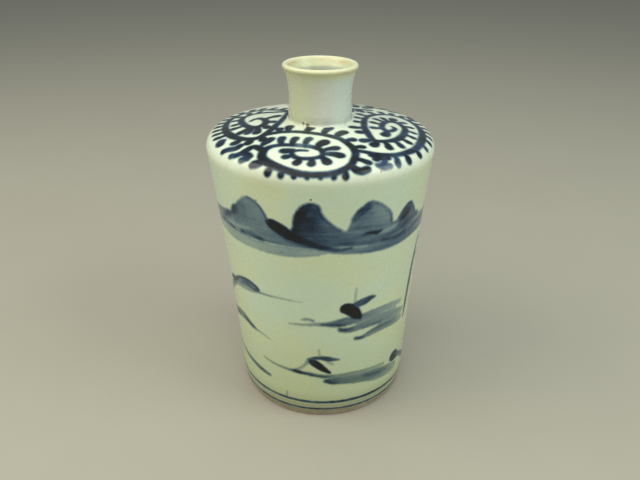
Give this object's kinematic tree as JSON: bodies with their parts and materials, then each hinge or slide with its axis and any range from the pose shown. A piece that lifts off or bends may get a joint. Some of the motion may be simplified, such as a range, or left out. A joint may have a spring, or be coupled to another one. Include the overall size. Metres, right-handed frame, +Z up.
{
  "type": "sake bottle",
  "caption": "Tapered cylindrical porcelain sake bottle with a low domed shoulder, short neck with a flared mouth, and turned foot ring, painted in blue under a clear glaze.",
  "frame": {"origin": "centre of the foot's contact ring, on the surface that the bottle stands on", "axes": "+Z up along the axis of the bottle, from the foot to the mouth; -Y is the painted front"},
  "size_m": [0.112, 0.112, 0.178],
  "materials": {
    "bare_clay": "unglazed fired porcelain clay, fine and matt",
    "clear_glaze": "glossy, faintly green grey transparent glaze over white porcelain",
    "painted_glaze": "glossy clear glaze over brushed cobalt blue painting",
    "rim_glaze": "glossy glaze, thin and tan along the lip's outer edge"
  },
  "bodies": {
    "root": {"foot_ring": "bare_clay", "base_floor": "clear_glaze", "body_wall": "painted_glaze", "shoulder": "painted_glaze", "neck_collar": "clear_glaze", "neck": "clear_glaze", "mouth_rim": "rim_glaze"}
  },
  "joints": []
}
